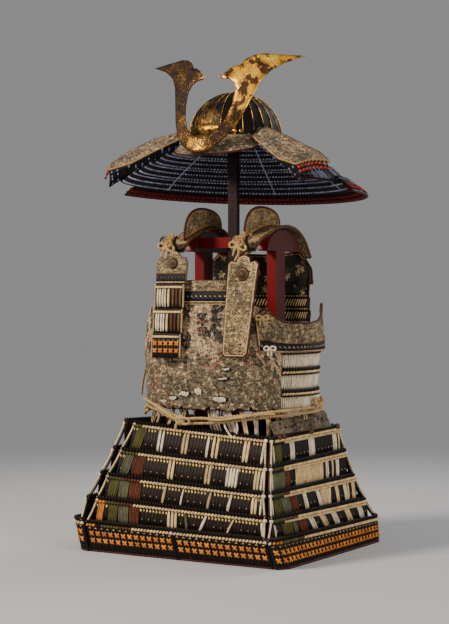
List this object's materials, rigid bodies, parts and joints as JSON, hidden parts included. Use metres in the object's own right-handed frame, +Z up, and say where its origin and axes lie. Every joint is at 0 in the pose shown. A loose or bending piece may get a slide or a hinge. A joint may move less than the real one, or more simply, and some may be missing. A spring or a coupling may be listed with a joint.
{
  "type": "samurai armour on a display stand",
  "caption": "Laced armour of cuirass, hanging skirt panels, shoulder straps, chest guards and horned helmet, resting on a lacquered wooden stand.",
  "frame": {"origin": "centre of the underside of the stand's base, on the floor", "axes": "+Z up, -Y to the front of the armour, +X to the wearer's left"},
  "size_m": [0.5956, 0.563, 1.1012],
  "materials": {
    "red_lacquer": "deep red lacquer over wood, glossy and dusty in places",
    "black_iron": "black lacquered iron with worn ridges",
    "gilt_copper": "gilt copper, rubbed through to dark brown",
    "hemp_cord": "tan twisted hemp cord",
    "silk_lacing": "flat braided lacing, faded and frayed",
    "worn_leather": "old smoked leather, scuffed grey-brown",
    "laced_scales": "small black lacquered rawhide scales under flat lacing",
    "printed_leather": "tan doeskin printed with small leaves and blossoms"
  },
  "bodies": {
    "root": {"back_plate": "printed_leather", "back_upper_lames": "laced_scales", "chest_plate": "printed_leather", "front_leather": "printed_leather", "front_upper_lame": "laced_scales", "helmet_bowl_left": "black_iron", "helmet_bowl_right": "black_iron", "helmet_crest": "gilt_copper", "helmet_left_turnback": "printed_leather", "helmet_peak": "printed_leather", "helmet_right_turnback": "printed_leather", "left_armpit_guard": "printed_leather", "left_chest_guard": "printed_leather", "left_shoulder_strap": "printed_leather", "left_skirt_leather": "worn_leather", "left_strap_wing": "printed_leather", "neck_guard_lame_1": "laced_scales", "neck_guard_lame_2": "laced_scales", "neck_guard_lame_3": "laced_scales", "neck_guard_lame_4": "laced_scales", "neck_guard_lame_5": "laced_scales", "right_guard_cap": "printed_leather", "right_guard_lames": "laced_scales", "right_shoulder_strap": "printed_leather", "right_side_plate": "printed_leather", "right_strap_wing": "printed_leather", "skirt_back_lame_1": "laced_scales", "skirt_back_lame_2": "laced_scales", "skirt_back_lame_3": "laced_scales", "skirt_back_lame_4": "laced_scales", "skirt_back_lame_5": "laced_scales", "skirt_front_lame_1": "laced_scales", "skirt_front_lame_2": "laced_scales", "skirt_front_lame_3": "laced_scales", "skirt_front_lame_4": "laced_scales", "skirt_front_lame_5_left": "laced_scales", "skirt_front_lame_5_right": "laced_scales", "skirt_hanging_lacing": "silk_lacing", "skirt_left_lame_1": "laced_scales", "skirt_left_lame_2": "laced_scales", "skirt_left_lame_3": "laced_scales", "skirt_left_lame_4": "laced_scales", "skirt_left_lame_5": "laced_scales", "skirt_right_lame_1": "laced_scales", "skirt_right_lame_2": "laced_scales", "skirt_right_lame_3": "laced_scales", "skirt_right_lame_4": "laced_scales", "skirt_right_lame_5": "laced_scales", "stand_base": "red_lacquer", "stand_cross_arm": "red_lacquer", "stand_left_side": "red_lacquer", "stand_pole": "red_lacquer", "stand_right_side": "red_lacquer", "trunk_lame_1": "laced_scales", "trunk_lame_2": "laced_scales", "trunk_lame_3": "laced_scales", "trunk_lame_4": "laced_scales", "waist_rope": "hemp_cord", "waist_strap_end": "hemp_cord"}
  },
  "joints": []
}
